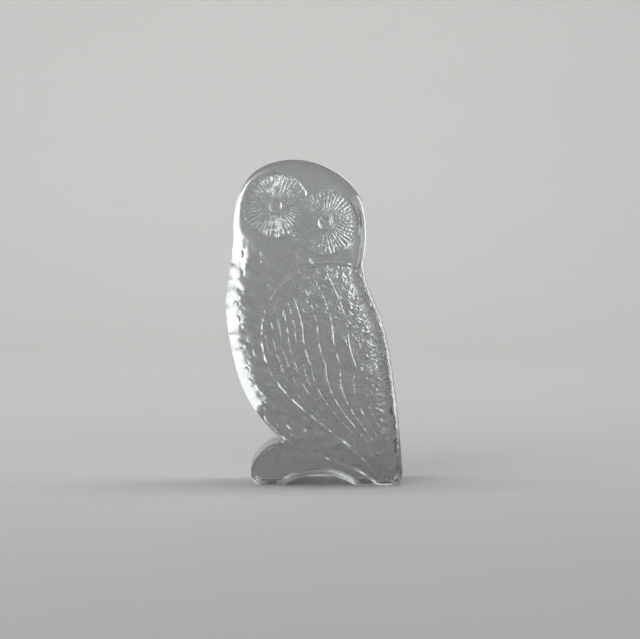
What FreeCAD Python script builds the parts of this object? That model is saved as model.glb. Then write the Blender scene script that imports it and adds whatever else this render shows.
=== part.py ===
"""Pressed crystal owl: a thick glass slab that stands on its toe and its tail.

The owl sits in profile, its breast towards -X and its back towards +X, and turns its face to the
viewer at -Y. Only the front face carries relief. The casting is divided where that relief draws a
line: the neck, the rims of the eye discs, the edge of the wing and the top of the foot. Neighbours
meet face to face, as glass that was fused while it was hot, and nothing moves.

Frame: millimetres, +X towards the owl's back, +Y away from the viewer, +Z up. The origin is on the
surface that the owl stands on, under the middle of its box.

A sketch on the XZ plane has X to the right, Z up and its normal towards the viewer, so a level in
such a sketch is a distance in front of the slab's middle plane.
"""

import FreeCAD
import Part

import math
import os

import Sketcher
from FreeCAD import Vector

# The driving dimensions, in millimetres or plain counts.
DIMENSIONS = {
    "thickness": 28.0,
    "wing_proud": 0.5,
    "foot_back": 0.6,
    "breast_round": 7.0,
    "back_round": 1.6,
    "head_round": 4.0,
    "foot_round": 2.2,
    "disc_radius": 14.3,
    "disc_seat": 8.0,
    "disc_step": 0.9,
    "dish_depth": 1.3,
    "disc_rim": 0.9,
    "rib_count": 40,
    "rib_width": 0.5,
    "rib_groove": 0.5,
    "rib_start": 3.6,
    "rib_end": 13.0,
    "pupil_radius": 2.7,
    "pupil_seat": 5.0,
    "pupil_rise": 1.2,
    "pupil_round": 1.4,
    "beak_round": 0.8,
    "wing_seat": 6.0,
    "line_width": 0.6,
    "line_depth": 0.7,
    "scale_radius": 2.7,
    "left_eye_x": -16.7,
    "left_eye_z": 120.1,
    "right_eye_x": 4.3,
    "right_eye_z": 112.9,
}

# Corners that neighbours share, as X and Z.
NOTCH = (-12.7, 17.7)
NECK_LEFT = (-34.6, 108.0)
NECK_RIGHT = (20.9, 95.0)
TAIL_FRONT = (27.5, 0.0)
TAIL_TOP = (38.0, 5.0)
WING_FRONT = (-22.9, 68.0)
WING_BACK_TOP = (21.9, 89.0)
WING_BACK_MIDDLE = (33.4, 50.0)
WING_BACK_LOW = (37.4, 14.0)
WING_TIP = (27.0, 2.6)

# The wing's top line runs on to this point, outside the back, so that its seat is cut clean through.
BESIDE_WING = (26.5, 84.5)

# The smooth stretches between those corners, as points that one curve passes through. The belly
# runs on to the ground, and the space for the foot is cut away from it.
BELLY_END = (3.5, 0.0)
BELLY = [BELLY_END, NOTCH, (-28.3, 36.3), (-35.8, 58.8), (-38.0, 79.6), (-35.9, 96.0), NECK_LEFT]
NECK = [NECK_LEFT, (-7.0, 99.3), NECK_RIGHT]
CROWN = [
    NECK_LEFT,
    (-34.2, 117.7),
    (-27.8, 133.0),
    (-10.5, 140.0),
    (6.5, 136.4),
    (18.2, 126.6),
    (22.4, 112.5),
    NECK_RIGHT,
]
BACK = [NECK_RIGHT, WING_BACK_TOP, (27.4, 75.5), WING_BACK_MIDDLE, WING_BACK_LOW, TAIL_TOP]
TAIL = [TAIL_TOP, (36.9, 0.0), BELLY_END]
FOOT_TOP = [NOTCH, (-1.0, 13.5), (14.0, 8.6), TAIL_FRONT]
FOOT_SPACE = [TAIL_FRONT, (27.5, -5.0), (-20.0, -5.0), NOTCH]
SOLE_BACK = [TAIL_FRONT, (17.5, 0.0)]
ARCH = [(17.5, 0.0), (1.9, 4.7), (-13.7, 0.0)]
SOLE_FRONT = [(-13.7, 0.0), (-23.4, 0.0)]
TOE = [(-23.4, 0.0), (-27.3, 4.2), (-26.1, 10.2), NOTCH]

WING_TOP = [
    WING_FRONT,
    (-18.5, 82.0),
    (-5.0, 92.9),
    (7.5, 95.7),
    (17.0, 93.8),
    WING_BACK_TOP,
    BESIDE_WING,
]
WING_SPLIT = [WING_FRONT, (4.0, 70.0), WING_BACK_MIDDLE]
WING_END = [WING_BACK_LOW, WING_TIP]
WING_EDGE = [WING_TIP, (-2.0, 30.0), (-19.0, 48.5), WING_FRONT]

# The first and the last of the flight feathers' lines: the top, the middle and the lower end.
FIRST_FEATHER = [(-16.5, 67.5), (-13.4, 52.0), (3.5, 27.5)]
LAST_FEATHER = [(25.0, 53.0), (26.5, 40.0), (31.0, 20.0)]
FEATHER_LINES = 6

# The rows of scales on the coverts, each an arc: the two ends, the middle and how many scales.
SCALE_ROWS = [
    ([(-9.0, 86.5), (4.5, 90.5), (17.5, 86.0)], 4),
    ([(-13.5, 78.5), (4.0, 82.0), (22.0, 78.5)], 5),
    ([(2.0, 74.0), (14.0, 71.5), (26.0, 67.0)], 4),
]

FRONT = "Dims.thickness / 2"
REAR = "-Dims.thickness / 2"
FACE = f"{FRONT} - Dims.wing_proud"
FOOT_FACE = f"{FACE} - Dims.foot_back"
DISC_SEAT = f"{FRONT} - Dims.disc_seat"
WING_SEAT = f"{FRONT} - Dims.wing_seat"
PUPIL_SEAT = f"{FRONT} - Dims.pupil_seat"
RIM = f"{FACE} - Dims.disc_step"
DISH = f"{RIM} - Dims.dish_depth"

# How far apart two things may be and still count as the same, in millimetres.
NEAR = 0.02

doc = FreeCAD.newDocument("crystal_owl")
sheet = doc.addObject("Spreadsheet::Sheet", "Dims")
for row, (alias, value) in enumerate(DIMENSIONS.items(), start=1):
    sheet.set(f"A{row}", alias)
    sheet.set(f"B{row}", str(value))
    sheet.setAlias(f"B{row}", alias)
doc.recompute()


def number(expression):
    """The value of an expression in the sheet's cells, as the document works it out."""
    return float(sheet.evalExpression(expression))


def flat(point):
    """A sketch's point from an X and a Z."""
    return Vector(point[0], point[1], 0)


def line(points):
    return [Part.LineSegment(flat(a), flat(b)) for a, b in zip(points, points[1:])]


def arc(points):
    return [Part.Arc(*[flat(p) for p in points])]


def curve(points, start=None, end=None):
    """The smooth curve through the points, or its stretch between two of them."""
    spline = Part.BSplineCurve()
    spline.interpolate([flat(p) for p in points])
    if start:
        spline.segment(spline.parameter(flat(start)), spline.parameter(flat(end)))
    return [spline]


def between(first, last, share):
    """The points that lie the given share of the way from each first point to its last one."""
    return [tuple(a + (b - a) * share for a, b in zip(p, q)) for p, q in zip(first, last)]


def band(points):
    """A narrow closed band along the arc through three points, as wide as a relief line."""
    path = [flat(p) for p in points]
    circle = Part.Arc(*path).toShape().Curve
    half = number("Dims.line_width") / 2
    inner, outer = [
        [circle.Center + (p - circle.Center).normalize() * radius for p in path]
        for radius in (circle.Radius - half, circle.Radius + half)
    ]
    ends = [Part.LineSegment(inner[0], outer[0]), Part.LineSegment(inner[-1], outer[-1])]
    return [Part.Arc(*inner), Part.Arc(*outer)] + ends


def new_body(name):
    body = doc.addObject("PartDesign::Body", name)
    body.Label = name
    return body


def new_sketch(body, name, level, role="XZ_Plane"):
    """A sketch on one of the body's own planes, moved along its normal to the level."""
    sketch = body.newObject("Sketcher::SketchObject", name)
    plane = [f for f in body.Origin.OriginFeatures if f.Role == role][0]
    sketch.AttachmentSupport = [(plane, "")]
    sketch.MapMode = "FlatFace"
    sketch.setExpression(".AttachmentOffset.Base.z", level)
    return sketch


def drawn_sketch(body, name, level, geometry):
    sketch = new_sketch(body, name, level)
    sketch.addGeometry(geometry)
    return sketch


def circle_sketch(body, name, level, side, radius):
    """A sketch of one circle about the centre of the left or the right eye."""
    sketch = new_sketch(body, name, level)
    x, z = number(f"Dims.{side}_eye_x"), number(f"Dims.{side}_eye_z")
    circle = sketch.addGeometry(Part.Circle(Vector(x, z, 0), Vector(0, 0, 1), number(radius)))
    bind(sketch, "DistanceX", (-1, 1, circle, 3), f"Dims.{side}_eye_x")
    bind(sketch, "DistanceY", (-1, 1, circle, 3), f"Dims.{side}_eye_z")
    bind(sketch, "Radius", (circle,), radius)
    return sketch


def bind(sketch, kind, where, expression):
    """Adds a constraint whose value follows an expression."""
    constraint = Sketcher.Constraint(kind, *where, number(expression))
    index = sketch.addConstraint(constraint)
    sketch.setExpression(f"Constraints[{index}]", expression)


def outline_sketch(body, name, side, corners):
    """A closed outline in the plane that the eye's axis lies in, from (radius, forward) pairs."""
    sketch = new_sketch(body, name, f"Dims.{side}_eye_z", "XY_Plane")
    sketch.setExpression(".AttachmentOffset.Base.x", f"Dims.{side}_eye_x")
    places = [Vector(number(r), -number(f), 0) for r, f in corners]
    for start, end in zip(places, places[1:] + places[:1]):
        sketch.addGeometry(Part.LineSegment(start, end))
    for index, (radius, forward) in enumerate(corners):
        before = (index - 1) % len(corners)
        sketch.addConstraint(Sketcher.Constraint("Coincident", before, 2, index, 1))
        bind(sketch, "DistanceX", (-1, 1, index, 1), radius)
        bind(sketch, "DistanceY", (-1, 1, index, 1), f"-({forward})")
    return sketch


def pad(body, sketch, length):
    """Pads a sketch towards the viewer."""
    feature = body.newObject("PartDesign::Pad", sketch.Name + "_pad")
    feature.Profile = sketch
    feature.setExpression("Length", length)
    doc.recompute()


def cut(body, sketch, length, both_ways=False):
    """Cuts a sketch away from the viewer, or half each way, and makes sure that glass went."""
    before = body.Shape.Volume
    feature = body.newObject("PartDesign::Pocket", sketch.Name + "_cut")
    feature.Profile = sketch
    feature.SideType = "Symmetric" if both_ways else "One side"
    feature.setExpression("Length", length)
    doc.recompute()
    if body.Shape.Volume > before - NEAR:
        raise RuntimeError(f"{feature.Name} cuts nothing")
    return feature


def slab(name, back, front, geometry):
    """A body between two levels with the given closed outline."""
    body = new_body(name)
    sketch = drawn_sketch(body, name + "_outline", back, geometry)
    pad(body, sketch, f"({front}) - ({back})")
    return body


def edges_along(shape, curves, level):
    """The names of the edges that follow one of the curves at a level."""
    names = []
    for index, edge in enumerate(shape.Edges, start=1):
        middle = edge.valueAt((edge.FirstParameter + edge.LastParameter) / 2)
        seen = Part.Vertex(flat((middle.x, middle.z)))
        gaps = [c.toShape().distToShape(seen)[0] for c in curves]
        if abs(middle.y + number(level)) < NEAR and min(gaps) < NEAR:
            names.append(f"Edge{index}")
    return names


def round_off(body, name, radius, curves, levels):
    """Rounds the body's edges along the curves, at each of the levels."""
    names = [n for level in levels for n in edges_along(body.Shape, curves, level)]
    fillet(body, f"{body.Name}_{name}", radius, names)


def fillet(body, name, radius, edges):
    base = body.Tip
    feature = body.newObject("PartDesign::Fillet", name)
    feature.Base = (base, edges)
    feature.setExpression("Radius", radius)
    doc.recompute()


def make_torso():
    """Breast, belly, back and tail, with the seat that the wing lies in."""
    body = slab("torso", REAR, FACE, curve(BELLY) + curve(NECK) + curve(BACK) + line(TAIL))
    round_off(body, "breast", "Dims.breast_round", curve(BELLY), (REAR, FACE))
    round_off(body, "back", "Dims.back_round", curve(BACK), (REAR, FACE))
    below = between([WING_TIP], [WING_BACK_LOW], 2)[0]
    beside = line([BESIDE_WING, (below[0], BESIDE_WING[1]), below, WING_TIP])
    wing = curve(WING_TOP) + beside + curve(WING_EDGE)
    cut(body, drawn_sketch(body, "torso_wing_seat", FRONT, wing), "Dims.wing_seat")
    foot = curve(FOOT_TOP) + line(FOOT_SPACE)
    cut(body, drawn_sketch(body, "torso_foot_space", FRONT, foot), "Dims.thickness")


def make_head():
    """The head, with a seat for each eye disc."""
    body = slab("head", REAR, FACE, curve(CROWN) + curve(NECK))
    round_off(body, "crown", "Dims.head_round", curve(CROWN), (REAR, FACE))
    for side in ("left", "right"):
        seat = circle_sketch(body, f"head_{side}_seat", FRONT, side, "Dims.disc_radius")
        cut(body, seat, "Dims.disc_seat")


def make_eye_disc(side, other):
    """A ribbed dish, cut by the other eye's circle and bored for its pupil."""
    body = new_body(f"{side}_eye_disc")
    dish = [
        ("0", DISC_SEAT),
        ("Dims.disc_radius", DISC_SEAT),
        ("Dims.disc_radius", RIM),
        ("Dims.disc_radius - Dims.disc_rim", RIM),
        ("0", DISH),
    ]
    turned = outline_sketch(body, f"{side}_dish", side, dish)
    revolution = body.newObject("PartDesign::Revolution", f"{side}_dish_turned")
    revolution.Profile = turned
    revolution.ReferenceAxis = (turned, ["V_Axis"])
    doc.recompute()
    rib = [
        ("Dims.rib_start", f"{DISH} - Dims.rib_groove"),
        ("Dims.rib_end", f"{RIM} - Dims.rib_groove"),
        ("Dims.rib_end", FRONT),
        ("Dims.rib_start", FRONT),
    ]
    groove = cut(body, outline_sketch(body, f"{side}_rib", side, rib), "Dims.rib_width", True)
    ribs = body.newObject("PartDesign::PolarPattern", f"{side}_ribs")
    ribs.Originals = [groove]
    ribs.Axis = (turned, ["V_Axis"])
    ribs.Angle = 360
    ribs.setExpression("Occurrences", "Dims.rib_count")
    body.Tip = ribs
    doc.recompute()
    bore = circle_sketch(body, f"{side}_pupil_bore", FRONT, side, "Dims.pupil_radius")
    cut(body, bore, "Dims.pupil_seat")
    beak = circle_sketch(body, f"{side}_beak_side", FRONT, other, "Dims.disc_radius")
    cut(body, beak, "Dims.disc_seat")


def make_pupil(side):
    """A round boss with a domed end, in the middle of its disc."""
    body = new_body(f"{side}_pupil")
    seat = circle_sketch(body, f"{side}_pupil_outline", PUPIL_SEAT, side, "Dims.pupil_radius")
    top = f"{DISH} + Dims.pupil_rise"
    pad(body, seat, f"{top} - ({PUPIL_SEAT})")
    names = [
        f"Edge{index}"
        for index, edge in enumerate(body.Shape.Edges, start=1)
        if abs(edge.CenterOfMass.y + number(top)) < NEAR
    ]
    fillet(body, f"{side}_pupil_dome", "Dims.pupil_round", names)


def beak_outline():
    """The lens where the two eye circles cross, as the two arcs that bound it."""
    radius = number("Dims.disc_radius")
    left = flat((number("Dims.left_eye_x"), number("Dims.left_eye_z")))
    right = flat((number("Dims.right_eye_x"), number("Dims.right_eye_z")))
    middle = (left + right) / 2
    across = (right - left).normalize()
    half_length = math.sqrt(radius**2 - left.distanceToPoint(middle) ** 2)
    tip = Vector(-across.y, across.x, 0) * half_length
    top, bottom = middle + tip, middle - tip
    right_side = Part.Arc(top, left + across * radius, bottom)
    left_side = Part.Arc(bottom, right - across * radius, top)
    return [right_side, left_side]


def make_beak():
    """The smooth ridge where the two eye circles cross."""
    sides = beak_outline()
    body = slab("beak", DISC_SEAT, FRONT, sides)
    round_off(body, "ridge", "Dims.beak_round", sides, (FRONT,))


def make_coverts():
    """The upper wing, with its rows of scales."""
    back = curve(BACK, WING_BACK_TOP, WING_BACK_MIDDLE)
    outline = curve(WING_TOP, WING_FRONT, WING_BACK_TOP) + back + arc(WING_SPLIT)
    body = slab("wing_coverts", WING_SEAT, FRONT, outline)
    round_off(body, "back", "Dims.back_round", back, (FRONT,))
    scales = []
    radius = number("Dims.scale_radius")
    for row, count in SCALE_ROWS:
        path = arc(row)[0].toShape()
        for middle in path.discretize(count):
            scale = [
                (middle.x - radius, middle.y),
                (middle.x, middle.y - radius),
                (middle.x + radius, middle.y),
            ]
            scales += band(scale)
    cut(body, drawn_sketch(body, "covert_scales", FRONT, scales), "Dims.line_depth")


def make_flight_feathers():
    """The lower wing, with the lines between its long feathers."""
    back = curve(BACK, WING_BACK_MIDDLE, WING_BACK_LOW)
    outline = arc(WING_SPLIT) + back + line(WING_END) + curve(WING_EDGE)
    body = slab("flight_feathers", WING_SEAT, FRONT, outline)
    round_off(body, "back", "Dims.back_round", back, (FRONT,))
    lines = []
    for index in range(FEATHER_LINES):
        share = index / (FEATHER_LINES - 1)
        lines += band(between(FIRST_FEATHER, LAST_FEATHER, share))
    cut(body, drawn_sketch(body, "feather_lines", FRONT, lines), "Dims.line_depth")


def make_foot():
    """The plain foot, which stands on its toe and its heel with a low arch between them."""
    sole = line(SOLE_BACK) + arc(ARCH) + line(SOLE_FRONT)
    body = slab("foot", REAR, FOOT_FACE, curve(FOOT_TOP) + sole + curve(TOE))
    round_off(body, "toe", "Dims.foot_round", curve(TOE), (REAR, FOOT_FACE))


def make_all():
    make_torso()
    make_head()
    make_eye_disc("left", "right")
    make_eye_disc("right", "left")
    make_pupil("left")
    make_pupil("right")
    make_beak()
    make_coverts()
    make_flight_feathers()
    make_foot()


def check_and_write():
    """Stops at the first failed object, and otherwise writes each body to a file of its own."""
    for thing in doc.Objects:
        if "Invalid" in thing.State or "Error" in thing.State:
            raise RuntimeError(f"{thing.Name} failed: {thing.State}")
    bodies = [thing for thing in doc.Objects if thing.TypeId == "PartDesign::Body"]
    for body in bodies:
        if body.Shape.isNull() or not body.Shape.isValid() or len(body.Shape.Solids) != 1:
            raise RuntimeError(f"{body.Label} is not one valid solid")
    os.makedirs("parts", exist_ok=True)
    for body in bodies:
        body.Shape.exportStep(f"parts/{body.Label}.step")
        print(f"{body.Label}: {body.Shape.Volume:.1f} mm3")


make_all()
check_and_write()
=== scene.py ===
"""The looks of a pressed crystal owl, built round its CAD frame.

The owl is one casting of glass. Its skin is made here as a single closed surface: the outline comes
from the CAD nodes, the edges are rounded as the mould rounds them, and the relief of eyes, wing and
breast is raised on the front. That surface is then cut along the CAD nodes' own borders, so that
each node has a closed piece of its own. The cut faces are clear through, because fused glass has no
surface inside.

Plans of the owl are drawn in millimetres in the XZ plane, as arrays of X and Z. The viewer is at -Y.
"""

import math

import bpy
import numpy as np
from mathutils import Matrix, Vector
from mathutils.bvhtree import BVHTree
from mathutils.geometry import delaunay_2d_cdt
from mathutils.interpolate import poly_3d_calc
from mathutils.kdtree import KDTree


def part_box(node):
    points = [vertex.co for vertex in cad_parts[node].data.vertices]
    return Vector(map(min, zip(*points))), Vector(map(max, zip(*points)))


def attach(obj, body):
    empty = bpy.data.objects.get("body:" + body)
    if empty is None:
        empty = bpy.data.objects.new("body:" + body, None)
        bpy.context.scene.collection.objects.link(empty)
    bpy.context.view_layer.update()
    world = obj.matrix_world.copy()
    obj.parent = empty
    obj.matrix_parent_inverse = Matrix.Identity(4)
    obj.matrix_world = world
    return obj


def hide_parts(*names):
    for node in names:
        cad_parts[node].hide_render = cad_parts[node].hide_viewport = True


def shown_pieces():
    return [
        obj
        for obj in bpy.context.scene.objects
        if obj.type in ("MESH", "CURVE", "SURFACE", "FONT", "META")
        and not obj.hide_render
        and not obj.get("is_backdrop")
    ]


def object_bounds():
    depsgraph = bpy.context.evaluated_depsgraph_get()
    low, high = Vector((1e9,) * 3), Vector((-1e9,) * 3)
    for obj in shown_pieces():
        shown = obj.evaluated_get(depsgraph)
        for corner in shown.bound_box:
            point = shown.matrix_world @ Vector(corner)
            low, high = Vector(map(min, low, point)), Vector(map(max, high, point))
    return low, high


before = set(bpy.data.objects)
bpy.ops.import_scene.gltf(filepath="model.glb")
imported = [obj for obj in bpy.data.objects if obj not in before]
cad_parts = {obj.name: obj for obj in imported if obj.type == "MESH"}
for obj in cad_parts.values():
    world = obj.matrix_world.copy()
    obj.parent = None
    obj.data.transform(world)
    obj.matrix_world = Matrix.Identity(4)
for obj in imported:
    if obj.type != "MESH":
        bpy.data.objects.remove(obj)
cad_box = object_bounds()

MM = 0.001
SEED = 7
# The noise repeats after this many cells, and the plan's origin is in the cell of this number.
NOISE_CELLS = 256
NOISE_START = 64
SIDES = ("left", "right")

LOW, HIGH = [np.array(corner) / MM for corner in cad_box]
HALF_DEPTH = (HIGH[1] - LOW[1]) / 2

# How finely plans and skin are drawn, in millimetres.
SHORTEST_SIDE = 0.0001
PLAN_STEP = 0.1
BORDER_STEP = 0.4
OUTLINE_STEP = 0.5
FRONT_STEP = 0.34
EYE_STEP = 0.2
BACK_STEP = 0.7
CORNER_SOFTNESS = 0.55
EDGE_SOFTNESS = 3.0

# How many rows of points go round the front edge and the back edge, and down the wall.
FRONT_EDGE_ROWS = 24
BACK_EDGE_ROWS = 20
WALL_ROWS = 24


# ---------------------------------------------------------------- plans of the CAD nodes


def section(name, level):
    """The outline of a CAD node where the plane Y = level cuts it, anticlockwise seen from -Y."""
    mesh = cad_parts[name].data
    mesh.calc_loop_triangles()
    spots = np.array([v.co for v in mesh.vertices]) / MM
    follow = {}
    for triangle in mesh.loop_triangles:
        corners = spots[list(triangle.vertices)]
        above = corners[:, 1] > level
        if above.all() or not above.any():
            continue
        ends = {}
        for index in range(3):
            a, b = corners[index], corners[(index + 1) % 3]
            if above[index] != above[(index + 1) % 3]:
                share = (level - a[1]) / (b[1] - a[1])
                ends[bool(above[index])] = (a + (b - a) * share)[[0, 2]]
        if np.linalg.norm(ends[True] - ends[False]) > SHORTEST_SIDE:
            follow[spot_key(ends[True])] = ends[False]
    return longest_loop(follow)


def spot_key(point):
    return (round(float(point[0]), 3), round(float(point[1]), 3))


def longest_loop(follow):
    """The longest closed loop in a table that gives, for each point's key, the point after it."""
    best = []
    while follow:
        start = key = next(iter(follow))
        loop = []
        while key in follow:
            loop.append(follow.pop(key))
            key = spot_key(loop[-1])
        if len(loop) > len(best):
            best = loop
    loop = np.array(best)
    return loop if area(loop) > 0 else loop[::-1]


def area(loop):
    after = np.roll(loop, -1, axis=0)
    return float(np.sum(loop[:, 0] * after[:, 1] - after[:, 0] * loop[:, 1])) / 2


def resample(loop, step, closed=True):
    """Points along a line or a loop at equal steps."""
    ring = np.vstack([loop, loop[:1]]) if closed else loop
    runs = np.linalg.norm(np.diff(ring, axis=0), axis=1)
    along = np.concatenate([[0], np.cumsum(runs)])
    count = max(2, round(along[-1] / step))
    places = np.linspace(0, along[-1], count, endpoint=not closed)
    return np.stack([np.interp(places, along, ring[:, i]) for i in (0, 1)], axis=1)


def smooth_round(values, width, step):
    """A loop's values, smoothed along the loop by a bell curve of the given width."""
    reach = int(3 * width / step) + 1
    offsets = np.arange(-reach, reach + 1)
    weights = np.exp(-((offsets * step / width) ** 2) / 2)
    weights /= weights.sum()
    return sum(w * np.roll(values, int(o), axis=0) for w, o in zip(weights, offsets))


class Plan:
    """A closed loop that can say how far inside it points lie."""

    def __init__(self, loop, step=PLAN_STEP):
        self.points = resample(loop, step)
        ahead = np.roll(self.points, -1, axis=0) - np.roll(self.points, 1, axis=0)
        ahead /= np.linalg.norm(ahead, axis=1)[:, None]
        self.inward = np.stack([-ahead[:, 1], ahead[:, 0]], axis=1)
        self.tree = KDTree(len(self.points))
        for index, (x, z) in enumerate(self.points):
            self.tree.insert((x, z, 0), index)
        self.tree.balance()

    def nearest(self, spots):
        return np.array([self.tree.find((x, z, 0))[1] for x, z in spots])

    def depth(self, spots):
        """How far inside the loop each spot lies, negative outside it."""
        near = self.nearest(spots)
        gap = spots - self.points[near]
        across = np.sum(gap * self.inward[near], axis=1)
        far = np.linalg.norm(gap, axis=1)
        return np.where(far < 3 * OUTLINE_STEP, across, np.copysign(far, across))


def joined(loops, close=0.06, fewest=10):
    """The outline round several loops that share borders. Runs of very few points are dropped."""
    plans = [Plan(loop) for loop in loops]
    runs = []
    for index, loop in enumerate(loops):
        dense = resample(loop, PLAN_STEP)
        others = [p for i, p in enumerate(plans) if i != index]
        gaps = [np.linalg.norm(dense - p.points[p.nearest(dense)], axis=1) for p in others]
        free = np.min(gaps, axis=0) > close
        starts = np.flatnonzero(free & ~np.roll(free, 1))
        for start in starts:
            turned = np.roll(dense, -start, axis=0)
            length = int(np.argmin(np.roll(free, -start)))
            runs.append(turned[:length])
    runs = [r for r in runs if len(r) > fewest]
    chain = [runs.pop(0)]
    while runs:
        ends = [np.linalg.norm(r[0] - chain[-1][-1]) for r in runs]
        chain.append(runs.pop(int(np.argmin(ends))))
    return np.vstack(chain)


# The levels in Y at which the nodes are cut for their plans: near the middle of the slab, and in
# front of the faces that the wing's two nodes rest on.
MIDDLE = 0.1
IN_WING = -8.6

HEAD = Plan(section("head", MIDDLE))
FOOT = Plan(section("foot", MIDDLE))
TORSO = Plan(section("torso", MIDDLE))
COVERTS = Plan(section("wing_coverts", IN_WING))
FEATHERS = Plan(section("flight_feathers", IN_WING))
WING = Plan(joined([COVERTS.points, FEATHERS.points]))


def soft_outline():
    """The owl's outline, with its corners softened as a mould softens them."""
    loop = resample(joined([TORSO.points, HEAD.points, FOOT.points]), OUTLINE_STEP)
    return Plan(smooth_round(loop, CORNER_SOFTNESS, OUTLINE_STEP), OUTLINE_STEP)


OUTLINE = soft_outline()

# Each border between two nodes goes on past the owl's outline by these points, so that it closes
# round an area that the relief and the cuts can use.
FOOT_BEYOND = [(-52.7, 24.6), (-60.0, -20.0), (45.0, -20.0), (36.0, -5.4)]
HEAD_BEYOND = [(60.0, 98.0), (60.0, 160.0), (-60.0, 160.0), (-60.0, 108.0)]
WING_BEYOND = [(48.0, 25.6), (48.0, 80.0)]
COVERTS_BEYOND = [(60.0, 40.0), (60.0, 120.0), (-60.0, 120.0), (-60.0, 68.0)]


def stretch(loop, kept):
    """The part of a loop where kept is true, in order, from where it starts."""
    start = int(np.flatnonzero(kept & ~np.roll(kept, 1))[0])
    length = int(np.argmin(np.roll(kept, -start)))
    return resample(np.roll(loop, -start, axis=0)[:length], BORDER_STEP, closed=False)


def shared(plan, other, near=0.08):
    """The stretch of a plan's loop that runs along another plan's loop."""
    gaps = np.linalg.norm(plan.points - other.points[other.nearest(plan.points)], axis=1)
    return stretch(plan.points, gaps < near)


def closed_border(border, beyond):
    return np.vstack([border, beyond])


WING_EDGE = stretch(WING.points, OUTLINE.depth(WING.points) > 0.45)
FOOT_BORDER = closed_border(shared(FOOT, TORSO), FOOT_BEYOND)
HEAD_BORDER = closed_border(shared(HEAD, TORSO), HEAD_BEYOND)
WING_BORDER = closed_border(WING_EDGE, WING_BEYOND)
COVERTS_BORDER = closed_border(shared(COVERTS, FEATHERS), COVERTS_BEYOND)
FOOT_AREA = Plan(FOOT_BORDER)
HEAD_AREA = Plan(HEAD_BORDER)
WING_AREA = Plan(WING_BORDER)
COVERTS_AREA = Plan(COVERTS_BORDER)


# ---------------------------------------------------------------- the rounded edges


# How far down the outline must face to be the sole, and how far right to be the back of the head,
# where 1 is straight down or right.
SOLE_DOWN = 0.6
HEAD_BACK_RIGHT = 0.8


def round_the_owl(head, head_back, breast, back, toe, sole):
    """A size at each point of the outline, given for each stretch and blended between them."""
    across, up = -OUTLINE.inward.T
    gaps = [
        np.linalg.norm(OUTLINE.points - plan.points[plan.nearest(OUTLINE.points)], axis=1)
        for plan in (TORSO, HEAD, FOOT)
    ]
    owner = np.argmin(gaps, axis=0)
    on_head, on_foot = owner == 1, owner == 2
    sizes = np.select(
        [up < -SOLE_DOWN, on_foot, on_head & (across > HEAD_BACK_RIGHT), on_head, across < 0],
        [sole, toe, head_back, head, breast],
        back,
    )
    return smooth_round(sizes, EDGE_SOFTNESS, OUTLINE_STEP)


FRONT_RADII = round_the_owl(head=4.4, head_back=1.7, breast=7.2, back=1.4, toe=2.5, sole=1.4)
FRONT_REACH = round_the_owl(head=5.4, head_back=1.9, breast=9.6, back=1.6, toe=2.8, sole=0.7)
BACK_RADII = round_the_owl(head=4.0, head_back=3.0, breast=2.8, back=2.6, toe=2.2, sole=0.8)
BACK_REACH = round_the_owl(head=4.0, head_back=3.0, breast=15.0, back=2.6, toe=2.4, sole=0.8)


def edge_rows(radii, reach, count):
    """Points round a rounded edge, row by row from the wall to the flat face.

    The edge is as deep as its radius, and as wide as its reach. Gives the points' plan, how far
    they lie behind the face, and how squarely they face the viewer."""
    spots, drops, facing = [OUTLINE.points], [radii], [np.zeros(len(radii))]
    for angle in np.linspace(0, math.pi / 2, count + 1)[1:]:
        inset = reach * (1 - math.cos(angle))
        row = OUTLINE.points + OUTLINE.inward * inset[:, None]
        clear = OUTLINE.depth(row) > 0.97 * inset - 0.01
        spots.append(row[clear])
        drops.append(radii[clear] * (1 - math.sin(angle)))
        facing.append(np.full(clear.sum(), math.sin(angle)))
    return np.vstack(spots), np.concatenate(drops), np.concatenate(facing)


def grid(step, low, high):
    """A grid of points whose neighbours are all one step apart."""
    rows = np.arange(low[1], high[1], step * math.sqrt(3) / 2)
    columns = np.arange(low[0], high[0], step)
    across, up = np.meshgrid(columns, rows)
    across = across + (np.arange(len(rows)) % 2)[:, None] * step / 2
    return np.stack([across.ravel(), up.ravel()], axis=1)


def flat_points(step, reach):
    """The points of a grid that lie on the flat face, inside the rounded edge."""
    spots = grid(step, LOW[[0, 2]], HIGH[[0, 2]])
    near = OUTLINE.nearest(spots)
    return spots[OUTLINE.depth(spots) > reach[near] + 0.6 * step]


# ---------------------------------------------------------------- the relief, in millimetres


def rise(values, low, high):
    """0 below low, 1 above high, and a smooth rise between them."""
    share = np.clip((values - low) / (high - low), 0, 1)
    return share * share * (3 - 2 * share)


def bell(values, width):
    return np.exp(-((values / width) ** 2))


def blend(first, second, share):
    return first * (1 - share) + second * share


def crease(across, ridge, groove):
    """A ridge beside a groove. Each is given by its size, its place across the crease, its width."""
    (height, high_place, high_width), (depth, low_place, low_width) = ridge, groove
    high = height * bell(across - high_place, high_width)
    return high - depth * bell(across - low_place, low_width)


def mottle(spots, size, seed):
    """Smooth seeded noise from -1 to 1, whose patches are about the given size."""
    corners = (NOISE_CELLS + 1, NOISE_CELLS + 1)
    table = np.random.default_rng(SEED + seed).uniform(-1, 1, corners)
    cells = spots / size + NOISE_START
    base = np.floor(cells).astype(int)
    part = cells - base
    part = part * part * (3 - 2 * part)
    x, z = base.T % NOISE_CELLS
    low = blend(table[x, z], table[x + 1, z], part[:, 0])
    high = blend(table[x, z + 1], table[x + 1, z + 1], part[:, 0])
    return blend(low, high, part[:, 1])


# The height of each face, where 0 is the slab's front.
BODY_FACE = -0.5
FOOT_FACE = -1.1
EYE_RIM = -1.0
EYE_RIDGE = -1.2
EYE_DEPTH = -2.2


def middle(name):
    """The middle of a CAD node in the plan."""
    low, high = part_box(name)
    return np.array([(low.x + high.x) / 2, (low.z + high.z) / 2]) / MM


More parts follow.
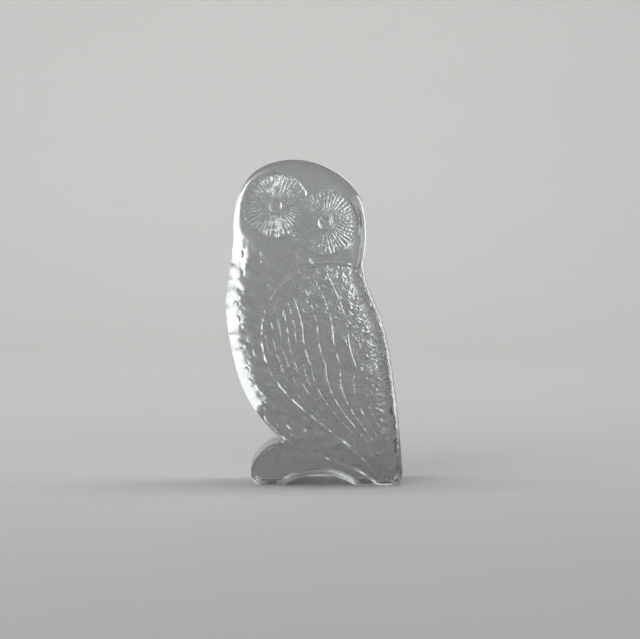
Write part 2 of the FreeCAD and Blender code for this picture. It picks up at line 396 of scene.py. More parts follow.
def radius_of(name):
    low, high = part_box(name)
    return (high.z - low.z) / 2 / MM


# The dish's curve, the pupil's size, the groove round it, and where and how the ribs rise.
DISH_CURVE = 1.3
PUPIL_RADIUS = 2.9
PUPIL_HEIGHT = 0.75
PUPIL_GROOVE = 3.0
RIB_START = (3.0, 4.6)
RIB_CURVE = 0.8
RIB_LEVEL = 0.45
RIB_WANDER = 0.7
RIB_PATCHES = 0.7
# How far inside an eye's circle the cap starts to give way to the dish, and where it has.
RIM_FALL = (-0.7, 0.9)
# The left dish comes in and the right one goes out between these values of how much further a
# point lies inside the left circle than inside the right one. The ridge is what is left between.
LEFT_RISE = (0.5, 2.8)
RIGHT_FALL = (-2.4, 0.3)


def eye_relief(spots, side, ribs, strength, turn):
    """A ribbed dish with a domed pupil, and how far inside the dish each point lies.

    The number of ribs also seeds the noise, so that the eyes differ."""
    radius = radius_of(f"{side}_eye_disc")
    gap = spots - middle(f"{side}_pupil")
    away = np.hypot(*gap.T)
    angle = np.arctan2(gap[:, 1], gap[:, 0])
    inside = radius - away
    share = away / radius
    dish = EYE_RIM + (EYE_DEPTH - EYE_RIM) * np.clip(1 - share, 0, 1) ** DISH_CURVE
    fan = np.stack([ribs * angle / 4, away / 6], axis=1)
    wander = RIB_WANDER * mottle(fan, size=1.0, seed=ribs)
    wave = np.abs(np.sin(ribs * angle / 2 + turn + wander)) ** RIB_CURVE
    full_from = 1.8 + mottle(fan * 2, size=1.0, seed=ribs + 1)
    reach = rise(away, *RIB_START) * rise(inside, 0.5, full_from)
    patchy = 1 + RIB_PATCHES * mottle(spots, size=1.1, seed=ribs + 2)
    dish += strength * patchy * reach * (0.3 + 0.7 * share) * (wave - RIB_LEVEL)
    dish += 0.06 * mottle(spots, size=0.7, seed=ribs + 3) * rise(away, 2.8, 3.6)
    dish -= 0.1 * bell(away - PUPIL_GROOVE, 0.6)
    dome = np.clip(1 - (away / PUPIL_RADIUS) ** 2, 0, 1)
    dish += dome * (PUPIL_HEIGHT + 0.15 * mottle(spots, size=0.9, seed=ribs + 4))
    return dish, inside


def face_relief(spots):
    """The head: a smooth cap and two eye dishes, with a narrow smooth ridge where they meet."""
    left, in_left = eye_relief(spots, "left", ribs=44, strength=0.42, turn=0.0)
    right, in_right = eye_relief(spots, "right", ribs=46, strength=0.22, turn=0.7)
    inside = np.maximum(in_left, in_right)
    cap = BODY_FACE + 0.05 * mottle(spots, size=3.5, seed=9) - 0.1 * bell(inside + 0.6, 0.5)
    lead = in_left - in_right
    of_left = rise(lead, *LEFT_RISE)
    of_right = 1 - rise(lead, *RIGHT_FALL)
    eyes = EYE_RIDGE + (left - EYE_RIDGE) * of_left + (right - EYE_RIDGE) * of_right
    return blend(cap, eyes, rise(inside, *RIM_FALL))


# The feathers start at the wing's front edge, up to where it turns over at the shoulder and before
# it reaches the tail. They narrow below a level, and lean forward above the shoulder.
FRONT_TOP = 68.0
FRONT_END = 27.0
FEATHER_WIDTH = 6.4
FEATHER_NARROWEST = 1.3
FEATHER_TAPER = 0.112
TAPER_Z = 52.0
FEATHER_LEAN = 0.46
SHOULDER_Z = 70.0
SHOULDER_BEND = 60.0
# How many feathers there are behind the front edge, and how many of them have a shaft.
FEATHER_COUNT = 7.6
SHAFT_COUNT = 3.8
# How strongly a line still shows in its gaps.
FAINTEST_DASH = 0.18
# The line between two feathers and the fainter one along a feather's middle, as creases.
FEATHER_LINE = {"ridge": (0.3, 0.26, 0.2), "groove": (0.36, -0.24, 0.22)}
SHAFT_LINE = {"ridge": (0.26, 0.22, 0.18), "groove": (0.32, -0.22, 0.2)}
# All feathers end under a low gable: the place of its top, and how fast it falls to both sides.
GABLE_X = 3.0
GABLE_Z = 97.0
GABLE_FALL = 1.1


def feather_place(spots):
    """How many feathers from the wing's front edge each point lies, and how wide they are there."""
    x, z = spots.T
    front = WING_EDGE[(WING_EDGE[:, 1] < FRONT_TOP) & (WING_EDGE[:, 0] < FRONT_END)]
    front = front[np.argsort(front[:, 1])]
    edge = np.interp(z, front[:, 1], front[:, 0])
    above = z - SHOULDER_Z
    edge -= FEATHER_LEAN * (above + np.sqrt(above**2 + SHOULDER_BEND)) / 2
    width = FEATHER_WIDTH - FEATHER_TAPER * (TAPER_Z - z)
    width = np.clip(width, FEATHER_NARROWEST, FEATHER_WIDTH)
    wander = 0.07 * mottle(np.stack([x / 30, z / 9], axis=1), size=1.0, seed=11)
    return (x - edge) / width + wander, width


def dashes(along, number, length, seed):
    """How strongly a line shows along its length, from faint in its gaps to 1."""
    place = np.stack([along / length, number * 5.3 + seed], axis=1)
    return FAINTEST_DASH + (1 - FAINTEST_DASH) * rise(mottle(place, size=1.0, seed=seed), -0.45, 0.15)


def feather_relief(spots):
    """Long feathers: a broken ridge and groove between each two, and a fainter shaft."""
    place, width = feather_place(spots)
    x, z = spots.T
    number = np.round(place)
    across = (place - number) * width
    border = crease(across, **FEATHER_LINE)
    height = dashes(z, number, length=2.4, seed=3) * border
    number = np.floor(place)
    across = (place - number - 0.5) * width
    shaft = crease(across, **SHAFT_LINE)
    with_shaft = rise(SHAFT_COUNT - place, 0, 1) * rise(z, 34, 44)
    height += dashes(z, number, length=2.2, seed=4) * with_shaft * shaft
    shown = rise(place, 0.2, 0.5) * rise(FEATHER_COUNT - place, 0, 1.2) * rise(z, 14, 30)
    gable = GABLE_Z - GABLE_FALL * np.abs(x - GABLE_X)
    return shown * rise(gable - z, 0, 6) * height


# A scale's parts as shares of its size: its radius and rim, the groove round it, the height from
# one row to the next, and how far noise moves it.
SCALE_RADIUS = 0.56
SCALE_RIM = 0.41
SCALE_GROOVE = 0.53
SCALE_ROW = 0.62
SCALE_WANDER = 0.34


def scale_relief(spots, size, lean, seed):
    """Round scales that overlap like tiles, each pushed a little out of its place."""
    turn = math.radians(lean)
    push = SCALE_WANDER * size
    x = spots[:, 0] + push * mottle(spots, 1.4 * size, seed)
    z = spots[:, 1] + push * mottle(spots, 1.4 * size, seed + 1)
    down = -z * math.cos(turn) + x * math.sin(turn)
    across = x * math.cos(turn) + z * math.sin(turn)
    row_of, column_of = down / (SCALE_ROW * size), across / size
    height = np.zeros(len(spots))
    settled = np.zeros(len(spots), bool)
    for offset in (-1, 0, 1):
        row = np.round(row_of) + offset
        shift = 0.5 * (row % 2)
        column = np.round(column_of - shift) + shift
        under = SCALE_ROW * (row_of - row)
        away = np.hypot(column_of - column, under)
        here = (away < SCALE_RADIUS) & ~settled
        edge = crease(away, ridge=(0.5, SCALE_RIM, 0.08), groove=(1.2, SCALE_GROOVE, 0.075))
        height = np.where(here, 0.3 + 0.4 * under + edge, height)
        settled |= here
    return height


# The breast's marks stand in columns. For each: how far in from the outline it runs, and its marks'
# spacing, half width, half length and strength.
MARK_COLUMNS = (
    (3.4, 7.4, 1.5, 1.9, 0.6),
    (6.6, 7.4, 1.3, 1.7, 0.45),
    (10.4, 10.8, 1.8, 3.9, 0.35),
)
MARK_GROOVE = 0.55
MARK_DOME = 0.22
MOST_MARKS = 400


def breast_marks(spots):
    """Small cups near the breast's edge, and fainter long ovals further in."""
    along = OUTLINE.nearest(spots) * OUTLINE_STEP
    inside = OUTLINE.depth(spots)
    height = np.zeros(len(spots))
    for column, (depth, spacing, half_width, half_length, strength) in enumerate(MARK_COLUMNS):
        place = along / spacing + 0.5 * (column % 2)
        number = np.round(place)
        chance = np.random.default_rng(SEED + column).uniform(-1, 1, (MOST_MARKS, 3))
        slide, drift, luck = chance[number.astype(int) % MOST_MARKS].T
        gap = (place - number) * spacing + 0.9 * slide
        across = inside - depth - 0.7 * drift
        ring = np.hypot(gap / half_length, across / half_width)
        shown = strength * rise(luck, -0.8, 0.2)
        open_top = 0.25 + 0.75 * rise(-gap, -half_length, 0.3 * half_length)
        height -= shown * open_top * bell(ring - 1, 0.24) * MARK_GROOVE
        height += shown * MARK_DOME * rise(1 - ring, 0, 0.7)
    return height


# The marks' upper end, and the breast's clouds, which stand higher near the left edge.
MARKS_TOP = 104.0
CLOUD_SIZE = 3.0
CLOUD_HEIGHT = 0.24
EDGE_CLOUD_HEIGHT = 0.12
EDGE_CLOUD_WIDTH = 20.0


def breast_relief(spots, inside, in_wing, in_foot):
    """The breast and the belly: cloudy all over, with marks on the breast."""
    x, z = spots.T
    more = EDGE_CLOUD_HEIGHT * rise(EDGE_CLOUD_WIDTH - inside, 0, 12) * rise(10 - x, 0, 12)
    cloudy = CLOUD_HEIGHT + more
    height = BODY_FACE - 0.1 + cloudy * mottle(spots, CLOUD_SIZE, seed=1)
    height += 0.1 * mottle(spots, size=1.3, seed=2)
    clear = rise(-in_wing, 0.6, 2.0) * rise(MARKS_TOP - z, 0, 3) * rise(-in_foot, 0.5, 3)
    on_breast = rise(-x, 2, 12)
    height += clear * on_breast * breast_marks(spots)
    return height + 0.26 * (1 - on_breast) * clear * mottle(spots, size=2.6, seed=5)


# The wing's scales, at its shoulder and on the bird's back: their size, lean and seed. Then the
# winding lines and the fine barbs.
SHOULDER_SCALES = {"size": 5.4, "lean": 24, "seed": 21}
BACK_SCALES = {"size": 3.6, "lean": 50, "seed": 23}
BACK_SCALES_HEIGHT = 0.27
WINDING_SIZE = 2.1
WINDING_CURVE = 0.7
BARB_LEAN = math.radians(25)
BARB_SPACING = 2.1
BARB_HEIGHT = 0.14


def wing_relief(spots):
    """The wing: scales at its shoulder and back, feathers, winding lines, and barbs low behind."""
    x, z = spots.T
    shoulder = rise(COVERTS_AREA.depth(spots), -4.0, 6.0)
    behind = rise(x + 0.30 * z, 26, 46)
    height = BODY_FACE + 0.2 * rise(z, 10, 34)
    height += shoulder * (0.17 + 0.24 * behind) * scale_relief(spots, **SHOULDER_SCALES)
    small_scales = scale_relief(spots, **BACK_SCALES)
    height += behind * rise(z, 30, 50) * BACK_SCALES_HEIGHT * small_scales
    height += (1 - 0.5 * behind) * feather_relief(spots)
    winding = np.abs(mottle(spots, WINDING_SIZE, seed=31)) ** WINDING_CURVE
    height += (0.14 + 0.12 * behind) * winding + 0.06 * mottle(spots, size=1.0, seed=6)
    slant = (x * math.sin(BARB_LEAN) + z * math.cos(BARB_LEAN)) / BARB_SPACING
    barbs = np.abs((slant + 0.5 * mottle(spots, size=5.0, seed=8)) % 1 - 0.5)
    low_behind = rise(x, 12, 24) * rise(48 - z, 0, 12)
    return height + BARB_HEIGHT * low_behind * (barbs - 0.25)


# The body's edge is kept plain for a few millimetres, and the breast falls away towards it.
PLAIN_BACK = 1.8
PLAIN_BREAST = 5.5
PILLOW_WIDTH = 18.0
PILLOW_DEPTH = 1.7
PILLOW_TOP = 108.0
# The crease along the foot's border.
FOOT_LINE = {"ridge": (0.07, -1.2, 0.6), "groove": (0.05, 0.8, 0.6)}


def body_relief(spots):
    """The torso with the wing laid over it, and the foot below."""
    x, z = spots.T
    in_wing = WING_AREA.depth(spots)
    in_foot = FOOT_AREA.depth(spots)
    inside = OUTLINE.depth(spots)
    breast = breast_relief(spots, inside, in_wing, in_foot)
    height = blend(breast, wing_relief(spots), rise(in_wing, -0.2, 1.1))
    plain = np.where(x > 0, PLAIN_BACK, PLAIN_BREAST)
    height = BODY_FACE + (height - BODY_FACE) * rise(inside, 0.5, plain)
    pillow = np.clip(1 - inside / PILLOW_WIDTH, 0, 1) ** 2 * rise(-x, -8, 8)
    height -= PILLOW_DEPTH * (pillow * rise(PILLOW_TOP - z, 0, 14))
    wing_groove = 0.1 + 0.28 * rise(z, 82, 92)
    height -= wing_groove * rise(z, 8, 30) * bell(in_wing + 0.15, 0.35)
    height = blend(height, FOOT_FACE, rise(in_foot, -0.9, 0.9))
    border = crease(in_foot, **FOOT_LINE)
    return height + rise(inside, 0.5, 2.5) * border


def relief(spots):
    """The height of the front at each point, from 0 down to the deepest carving."""
    on_head = rise(HEAD_AREA.depth(spots), -1.2, 1.2)
    return np.minimum(blend(body_relief(spots), face_relief(spots), on_head), 0.0)


def back_relief(spots):
    """The back: flat, with the mould's soft pebbling, calmer at the foot, the head and the rim."""
    pebbles = 0.24 * mottle(spots, size=3.4, seed=41) + 0.12 * mottle(spots, size=1.8, seed=42)
    calm = rise(OUTLINE.depth(spots), 2.5, 7.0) * (1 - 0.8 * rise(FOOT_AREA.depth(spots), -3, 1))
    calm *= 1 - 0.6 * rise(HEAD_AREA.depth(spots), -3, 3)
    return calm * (pebbles - 0.4)


# ---------------------------------------------------------------- the skin as one closed surface


# How closely two points may lie before they count as one, and the kind of triangulation that
# keeps what lies inside the border.
SNAP = 1e-7
INSIDE_ONLY = 1
# Up to this far from a pupil the grid is fine, and past the second distance it is coarse.
FINE_WITHIN = 14.9
COARSE_BEYOND = 15.0
# The relief fades where the skin turns over its edge, by this power of how far it faces front.
FADE_POWER = 0.7


def triangles(spots):
    """Triangles between points, inside the outline that the first of them make.

    The outline's hollows come filled too, so a walk in from beyond the border takes those away."""
    count = len(OUTLINE.points)
    border = {(i, (i + 1) % count) for i in range(count)}
    corners = [Vector(p) for p in spots]
    made = delaunay_2d_cdt(corners, sorted(border), [], INSIDE_ONLY, SNAP, True)
    source = np.array([ids[0] for ids in made[3]])
    found = source[np.array(made[2])]
    number_of = {}
    for number in np.flatnonzero((found < count).all(axis=1)):
        for side in sides(found[number].tolist()):
            number_of[side] = number
    outside = set()
    waiting = [(b, a) for a, b in border]
    while waiting:
        number = number_of.get(waiting.pop())
        if number is not None and number not in outside:
            outside.add(number)
            across = [(b, a) for a, b in sides(found[number].tolist())]
            waiting += [side for side in across if side not in border]
    return np.delete(found, sorted(outside), axis=0)


def sides(corners):
    return list(zip(corners, corners[1:] + corners[:1]))


def with_flat(edge, flat):
    """The rows of an edge with the flat face inside it, in the same three lists."""
    spots, drops, facing = edge
    return (
        np.vstack([spots, flat]),
        np.concatenate([drops, np.zeros(len(flat))]),
        np.concatenate([facing, np.ones(len(flat))]),
    )


def front_face():
    """The flat part of the front: a fine grid in the eyes and a coarse one elsewhere."""
    eyes = [middle(f"{side}_pupil") for side in SIDES]
    grids = [flat_points(step, FRONT_REACH) for step in (FRONT_STEP, EYE_STEP)]
    coarse, fine = grids
    from_eye, into_eye = [np.min([np.hypot(*(g - e).T) for e in eyes], axis=0) for g in grids]
    return np.vstack([coarse[from_eye > COARSE_BEYOND], fine[into_eye < FINE_WITHIN]])


def make_skin():
    """The whole owl as points and triangles."""
    edge = edge_rows(FRONT_RADII, FRONT_REACH, FRONT_EDGE_ROWS)
    spots, drops, facing = with_flat(edge, front_face())
    out = -OUTLINE.inward[OUTLINE.nearest(spots)] * np.sqrt(1 - facing**2)[:, None]
    normals = np.stack([out[:, 0], -facing, out[:, 1]], axis=1)
    front = np.stack([spots[:, 0], drops - HALF_DEPTH, spots[:, 1]], axis=1)
    front += normals * (relief(spots) * facing**FADE_POWER)[:, None]
    faces = [triangles(spots)]

    edge = edge_rows(BACK_RADII, BACK_REACH, BACK_EDGE_ROWS)
    spots, drops, _ = with_flat(edge, flat_points(BACK_STEP, BACK_REACH))
    back = np.stack([spots[:, 0], HALF_DEPTH - drops + back_relief(spots), spots[:, 1]], axis=1)
    faces.append(triangles(spots)[:, ::-1] + len(front))

    count = len(OUTLINE.points)
    rows = [np.arange(count)]
    walls = []
    base = len(front) + len(back)
    for row in range(1, WALL_ROWS):
        walls.append(blend(front[:count], back[:count], row / WALL_ROWS))
        rows.append(base + (row - 1) * count + np.arange(count))
    rows.append(len(front) + np.arange(count))
    for near, far in zip(rows, rows[1:]):
        near_next, far_next = np.roll(near, -1), np.roll(far, -1)
        faces.append(np.stack([near, far, far_next], axis=1))
        faces.append(np.stack([near, far_next, near_next], axis=1))
    return np.vstack([front, back] + walls), np.vstack(faces).tolist()


def new_mesh(name, points, faces):
    """A mesh from points in millimetres."""
    mesh = bpy.data.meshes.new(name)
    mesh.from_pydata(points * MM, [], faces)
    mesh.update()
    return mesh


def new_object(name, mesh):
    made = bpy.data.objects.new(name, mesh)
    bpy.context.scene.collection.objects.link(made)
    return made


# ---------------------------------------------------------------- cutting the skin into the nodes

# A level in front of and behind all of the owl, and the faces that the inlaid nodes rest on.
BEYOND = 25.0
WING_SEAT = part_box("flight_feathers")[1].y / MM
DISC_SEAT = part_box("left_eye_disc")[1].y / MM
PUPIL_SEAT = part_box("left_pupil")[1].y / MM
# The two kinds of face in every piece.
GLASS, JOINT = 0, 1


def prism(loop, back):
    """A closed prism from far in front of the owl to the given level, whose faces are joints."""
    count = len(loop)
    near = np.stack([loop[:, 0], np.full(count, -BEYOND), loop[:, 1]], axis=1)
    far = near + [0, BEYOND + back, 0]
    faces = [list(range(count)), list(range(2 * count - 1, count - 1, -1))]
    faces += [[i, count + i, count + (i + 1) % count, (i + 1) % count] for i in range(count)]
    mesh = new_mesh("cutter", np.vstack([near, far]), faces)
    mesh.polygons.foreach_set("material_index", [JOINT] * len(mesh.polygons))
    return mesh


def round_loop(name, centre):
    """A CAD node's circle about a centre, as a loop of points."""
    radius = radius_of(name)
    angles = np.arange(0, 2 * math.pi, BORDER_STEP / radius)
    return centre + radius * np.stack([np.cos(angles), np.sin(angles)], axis=1)


def combined(mesh, cutter, operation):
    """The mesh with a cutter taken away from it, or the part of it inside the cutter."""
    holders = [new_object("holder", mesh), new_object("holder", cutter)]
    change = holders[0].modifiers.new("cut", "BOOLEAN")
    change.operation = operation
    change.solver = "MANIFOLD"
    change.object = holders[1]
    shaped = holders[0].evaluated_get(bpy.context.evaluated_depsgraph_get())
    made = bpy.data.meshes.new_from_object(shaped)
    for holder in holders:
        bpy.data.objects.remove(holder)
    return made


def split(mesh, cutter):
    """The part of the mesh inside the cutter, and the rest."""
    return combined(mesh, cutter, "INTERSECT"), combined(mesh, cutter, "DIFFERENCE")


def make_pieces(whole):
    """Cuts the whole owl into one closed mesh for each CAD node."""
    made = {}
    made["foot"], rest = split(whole, prism(FOOT_BORDER, BEYOND))
    made["head"], rest = split(rest, prism(HEAD_BORDER, BEYOND))
    wing, made["torso"] = split(rest, prism(WING_BORDER, WING_SEAT))
    made["wing_coverts"], made["flight_feathers"] = split(wing, prism(COVERTS_BORDER, BEYOND))
    centres = {side: middle(f"{side}_pupil") for side in SIDES}
    circles = {side: round_loop(f"{side}_eye_disc", centres[side]) for side in SIDES}
    discs = {}
    for side in SIDES:
        discs[side], made["head"] = split(made["head"], prism(circles[side], DISC_SEAT))
    made["beak"], discs["left"] = split(discs["left"], prism(circles["right"], BEYOND))
    for side in SIDES:
        bore = prism(round_loop(f"{side}_pupil", centres[side]), PUPIL_SEAT)
        made[f"{side}_pupil"], made[f"{side}_eye_disc"] = split(discs[side], bore)
    return made


class SkinNormals:
    """Knows the whole skin's normals, so that no cut shows as a crease in the glass."""

    def __init__(self, whole):
        self.tree = BVHTree.FromPolygons(
            [v.co for v in whole.vertices], [tuple(p.vertices) for p in whole.polygons]
        )
        self.whole = whole

    def at(self, spot):
        place, _, number, _ = self.tree.find_nearest(spot)
        corners = [self.whole.vertices[i] for i in self.whole.polygons[number].vertices]
        weights = poly_3d_calc([c.co for c in corners], place)
        return sum((c.normal * w for c, w in zip(corners, weights)), Vector()).normalized()

    def put_on(self, mesh):
        """Sets them on the glass beside each joint. A zero leaves a normal as it is."""
        beside = {v for p in mesh.polygons if p.material_index == JOINT for v in p.vertices}
        known = {v: self.at(mesh.vertices[v].co) for v in beside}
        normals = [(0.0, 0.0, 0.0)] * len(mesh.loops)
        for polygon in mesh.polygons:
            if polygon.material_index == GLASS:
                for loop in polygon.loop_indices:
                    normals[loop] = known.get(mesh.loops[loop].vertex_index, normals[loop])
        mesh.normals_split_custom_set(normals)


# ---------------------------------------------------------------- materials

# The pieces of each finish.
SLOTS = {
    "smooth_crystal": ["head", "beak", "foot"],
    "textured_crystal": ["torso", "wing_coverts", "flight_feathers"],
    "cut_crystal": [f"{side}_{part}" for side in SIDES for part in ("eye_disc", "pupil")],
}
# Each finish: its roughness in front and behind, and how strong its grain is.
FINISHES = {
    "smooth_crystal": {"front": 0.06, "back": 0.28, "grain": 0.08},
    "textured_crystal": {"front": 0.08, "back": 0.28, "grain": 0.12},
    "cut_crystal": {"front": 0.03, "back": 0.2, "grain": 0.05},
}
GLASS_IOR = 1.52
# Painted shade in grooves and the tint on open faces, and how pointed the surface is where each
# holds.
GROOVE_PAINTED_SHADE = (0.20, 0.21, 0.205, 1.0)
GLASS_TINT = (0.45, 0.47, 0.46, 1.0)
GROOVE_SHARPNESS = 0.42
FACE_SHARPNESS = 0.495
# Painted shade low down: how bright the tint is at the ground, and at and above a height in metres.
LOW_BRIGHTNESS = 0.74
HIGH_BRIGHTNESS = 1.02
BRIGHT_HEIGHT = 0.110
# The glass is clear before the first depth and satin past the second, in metres.
CLEAR_BEFORE = -0.010
SATIN_PAST = 0.012
# The satin's patches: how many to a metre, the part of the noise used, and how they change it.
PATCH_SCALE = 150.0
PATCH_NOISE = (0.25, 0.75)
PATCH_RANGE = (0.8, 1.25)
# The grain, in how many to a metre and how deep in metres.
GRAIN_SCALE = 1500.0
GRAIN_DEPTH = 0.0002
# The floor and the backdrop.
SWEEP_COLOUR = (0.6, 0.6, 0.58)
SWEEP_SPREAD = 0.02
SWEEP_ROUGHNESS = 0.8
CLOUD_SCALE = 9.0


def node(tree, kind, inputs=None, **settings):
    """A new node with its settings, and its inputs set to values or linked to other outputs."""
    made = tree.nodes.new(kind)
    for key, value in settings.items():
        setattr(made, key, value)
    for key, value in (inputs or {}).items():
        if isinstance(value, bpy.types.NodeSocket):
            tree.links.new(value, made.inputs[key])
        else:
            made.inputs[key].default_value = value
    return made


def new_material(name):
    material = bpy.data.materials.new(name)
    material.use_nodes = True
    material.node_tree.nodes.clear()
    return material, material.node_tree


def noise(tree, place, scale, detail):
    inputs = {"Vector": place, "Scale": scale, "Detail": detail}
    return node(tree, "ShaderNodeTexNoise", inputs).outputs["Fac"]


def mapped(tree, value, source, target, **settings):
    """A value taken from one range to another."""
    inputs = {"Value": value, "From Min": source[0], "From Max": source[1]}
    inputs |= {"To Min": target[0], "To Max": target[1]}
    return node(tree, "ShaderNodeMapRange", inputs, **settings).outputs["Result"]


def bumped(tree, height, strength, distance):
    inputs = {"Height": height, "Strength": strength, "Distance": distance}
    return node(tree, "ShaderNodeBump", inputs).outputs["Normal"]


def finish_with(tree, kind, inputs=None):
    """Ends a material with its shader."""
    shader = node(tree, kind, inputs)
    node(tree, "ShaderNodeOutputMaterial", {"Surface": shader.outputs[0]})


def glass(name, front, back, grain):
    """Pressed glass: fire-polished in front and satin behind, with a fine grain all over."""
    material, tree = new_material(name)
    place = node(tree, "ShaderNodeTexCoord").outputs["Object"]
    patches = noise(tree, place, PATCH_SCALE, detail=1.5)
    grains = noise(tree, place, GRAIN_SCALE, detail=4.0)
    axes = node(tree, "ShaderNodeSeparateXYZ", {"Vector": place}).outputs
    depths = (CLEAR_BEFORE, SATIN_PAST)
    satin = mapped(tree, axes["Y"], depths, (front, back), interpolation_type="SMOOTHSTEP")
    spread = mapped(tree, patches, PATCH_NOISE, PATCH_RANGE)
    roughness = node(tree, "ShaderNodeMath", {0: satin, 1: spread}, operation="MULTIPLY")
    hollow = node(tree, "ShaderNodeNewGeometry").outputs["Pointiness"]
    # Painted shade: the colour goes from the tint to a darker shade where the surface is hollow.
    tint_and_painted_shade = node(tree, "ShaderNodeValToRGB", {"Fac": hollow})
    stops = tint_and_painted_shade.color_ramp.elements
    stops[0].position, stops[0].color = GROOVE_SHARPNESS, GROOVE_PAINTED_SHADE
    stops[1].position, stops[1].color = FACE_SHARPNESS, GLASS_TINT
    # Painted shade: the colour grows darker towards the ground.
    brightness = (LOW_BRIGHTNESS, HIGH_BRIGHTNESS)
    painted_shade_by_height = mapped(tree, axes["Z"], (0.0, BRIGHT_HEIGHT), brightness)
    scaled = {"Vector": tint_and_painted_shade.outputs["Color"], "Scale": painted_shade_by_height}
    colour = node(tree, "ShaderNodeVectorMath", scaled, operation="SCALE")
    look = {
        "Base Color": colour.outputs["Vector"],
        "Roughness": roughness.outputs[0],
        "IOR": GLASS_IOR,
        "Transmission Weight": 1.0,
        "Normal": bumped(tree, grains, grain, GRAIN_DEPTH),
    }
    finish_with(tree, "ShaderNodeBsdfPrincipled", look)
    return material


def fused(name):
    """The face between two pieces that were fused while hot: nothing is seen there."""
    material, tree = new_material(name)
    finish_with(tree, "ShaderNodeBsdfTransparent")
    return material


def pale(name):
    """A plain pale surface for the floor and the backdrop, a little uneven."""
    material, tree = new_material(name)
    place = node(tree, "ShaderNodeTexCoord").outputs["Object"]
    cloud = noise(tree, place, CLOUD_SCALE, detail=5.0)
    ramp = node(tree, "ShaderNodeValToRGB", {"Fac": cloud})
    for stop, shade in zip(ramp.color_ramp.elements, (1 - SWEEP_SPREAD, 1 + SWEEP_SPREAD)):
        stop.color = [c * shade for c in SWEEP_COLOUR] + [1]
    look = {
        "Base Color": ramp.outputs["Color"],
        "Roughness": SWEEP_ROUGHNESS,
        "Normal": bumped(tree, cloud, strength=0.1, distance=0.002),
    }
    finish_with(tree, "ShaderNodeBsdfPrincipled", look)
    return material


# ---------------------------------------------------------------- the owl


def make_owl():
    """The ten pieces of glass, one for each CAD node."""
    joint = fused("fused_joint")
    finishes = {name: glass(name, **look) for name, look in FINISHES.items()}
    whole = new_mesh("owl", *make_skin())
    normals = SkinNormals(whole)
    meshes = make_pieces(whole)
    for finish, names in SLOTS.items():
        for name in names:
            mesh = meshes[name]
            kinds = np.array([p.material_index for p in mesh.polygons])
            mesh.materials.clear()
            mesh.materials.append(finishes[finish])
            mesh.materials.append(joint)
            mesh.polygons.foreach_set("material_index", kinds)
            mesh.polygons.foreach_set("use_smooth", kinds == GLASS)
            normals.put_on(mesh)
            piece = new_object(f"{name}_glass", mesh)
            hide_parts(name)
            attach(piece, "root")


make_owl()


# ---------------------------------------------------------------- the studio

# Lengths here are in metres, powers in watts, and the lens and sensor in millimetres.
AIM = Vector((0.0028, 0.0, 0.071))
CAMERA_DISTANCE = 0.65
CAMERA_TURN = math.radians(-2.0)
CAMERA_RISE = math.radians(2.65)
CAMERA_NEAREST = 0.01
LENS = 83.6
SENSOR_WIDTH = 36.0

SWEEP_WIDTH = 14.0
SWEEP_FRONT = -6.0
SWEEP_BACK = 1.35
SWEEP_BEND = 0.5
SWEEP_BEND_STEPS = 12
SWEEP_HEIGHT = 0.8

# Two strips stand behind the owl and light it alone: how far across each stands, and its power.
# The rim lights it from the front right, also alone. The key lights everything, and the wash only
# the floor and the backdrop.
STRIPS = ((0.30, 1.5), (-0.30, 0.45))
STRIP_BACK = 0.42
STRIP_UP = 0.225
STRIP_SIZE = (0.50, 0.44)
RIM = {"place": (0.48, -0.20, 0.20), "size": (0.45, 0.45), "power": 7.0}
KEY = {"place": (-0.7, -0.7, 1.1), "size": (0.8, 0.6), "power": 4.0}
WASH = {"place": (0.0, 0.2, 1.5), "size": (2.4, 0.6), "power": 24.0}
WASH_AIM = (0.0, SWEEP_BACK, 0.35)
# The world's light: how far up each of its two colours holds.
LOW_SKY = (0.05, (0.34, 0.35, 0.36, 1))
HIGH_SKY = (0.8, (0.12, 0.12, 0.13, 1))
MOST_BOUNCES = 24
MOST_CLEAR_FACES = 64


def make_sweep():
    """A pale floor that curves up into a backdrop."""
    profile = [(SWEEP_FRONT, 0.0)]
    for step in range(SWEEP_BEND_STEPS + 1):
        angle = math.pi / 2 * step / SWEEP_BEND_STEPS
        along = SWEEP_BACK - SWEEP_BEND + SWEEP_BEND * math.sin(angle)
        profile.append((along, SWEEP_BEND * (1 - math.cos(angle))))
    profile.append((SWEEP_BACK, SWEEP_HEIGHT))
    half = SWEEP_WIDTH / 2
    corners = [(x, y, z) for y, z in profile for x in (-half, half)]
    faces = [[2 * i, 2 * i + 1, 2 * i + 3, 2 * i + 2] for i in range(len(profile) - 1)]
    mesh = bpy.data.meshes.new("sweep")
    mesh.from_pydata(corners, [], faces)
    mesh.polygons.foreach_set("use_smooth", [True] * len(faces))
    mesh.materials.append(pale("pale_sweep"))
    sweep = new_object("sweep", mesh)
    sweep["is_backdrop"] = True
    return sweep


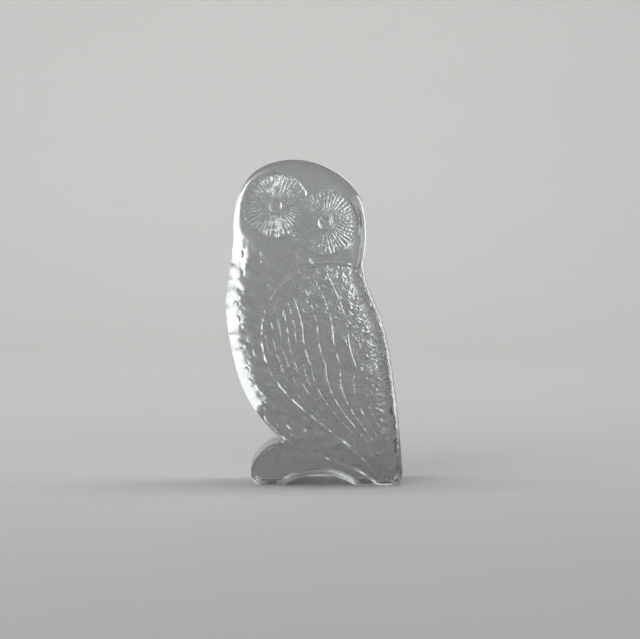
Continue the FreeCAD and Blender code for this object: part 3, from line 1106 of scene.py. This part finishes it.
def area_light(name, place, size, power, aim=AIM, only=None):
    """A soft light that the camera doesn't see. It may light only some of the objects."""
    light = bpy.data.lights.new(name, "AREA")
    light.shape = "RECTANGLE"
    light.size, light.size_y = size
    light.energy = power
    lamp = new_object(name, light)
    lamp.location = place
    lamp.visible_camera = False
    lamp.rotation_euler = (Vector(aim) - Vector(place)).to_track_quat("-Z", "Y").to_euler()
    if only is not None:
        lamp.light_linking.receiver_collection = only


def collection(name, members):
    made = bpy.data.collections.new(name)
    for member in members:
        made.objects.link(member)
    return made


def make_world():
    """A grey surround, dimmer overhead."""
    world = bpy.data.worlds.new("studio")
    world.use_nodes = True
    tree = world.node_tree
    direction = node(tree, "ShaderNodeTexCoord").outputs["Generated"]
    up = node(tree, "ShaderNodeSeparateXYZ", {"Vector": direction}).outputs["Z"]
    ramp = node(tree, "ShaderNodeValToRGB", {"Fac": up})
    for stop, (position, colour) in zip(ramp.color_ramp.elements, (LOW_SKY, HIGH_SKY)):
        stop.position, stop.color = position, colour
    tree.links.new(ramp.outputs["Color"], tree.nodes["Background"].inputs["Color"])
    bpy.context.scene.world = world


def make_studio():
    sweep = collection("behind", [make_sweep()])
    owl = collection("owl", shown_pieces())
    for across, power in STRIPS:
        area_light("strip", (across, STRIP_BACK, STRIP_UP), STRIP_SIZE, power, only=owl)
    area_light("rim", **RIM, only=owl)
    area_light("key", **KEY)
    area_light("backdrop", **WASH, aim=WASH_AIM, only=sweep)
    make_world()


def make_camera():
    camera = new_object("camera", bpy.data.cameras.new("camera"))
    flat_reach = math.cos(CAMERA_RISE)
    away = Vector((
        math.sin(CAMERA_TURN) * flat_reach,
        -math.cos(CAMERA_TURN) * flat_reach,
        math.sin(CAMERA_RISE),
    ))
    camera.location = AIM + CAMERA_DISTANCE * away
    camera.rotation_euler = (-away).to_track_quat("-Z", "Y").to_euler()
    camera.data.lens = LENS
    camera.data.sensor_width = SENSOR_WIDTH
    camera.data.clip_start = CAMERA_NEAREST
    bpy.context.scene.camera = camera


make_studio()
make_camera()

bpy.context.scene.view_settings.view_transform = "Standard"
cycles = bpy.context.scene.cycles
cycles.max_bounces = MOST_BOUNCES
cycles.transmission_bounces = MOST_BOUNCES
cycles.transparent_max_bounces = MOST_CLEAR_FACES
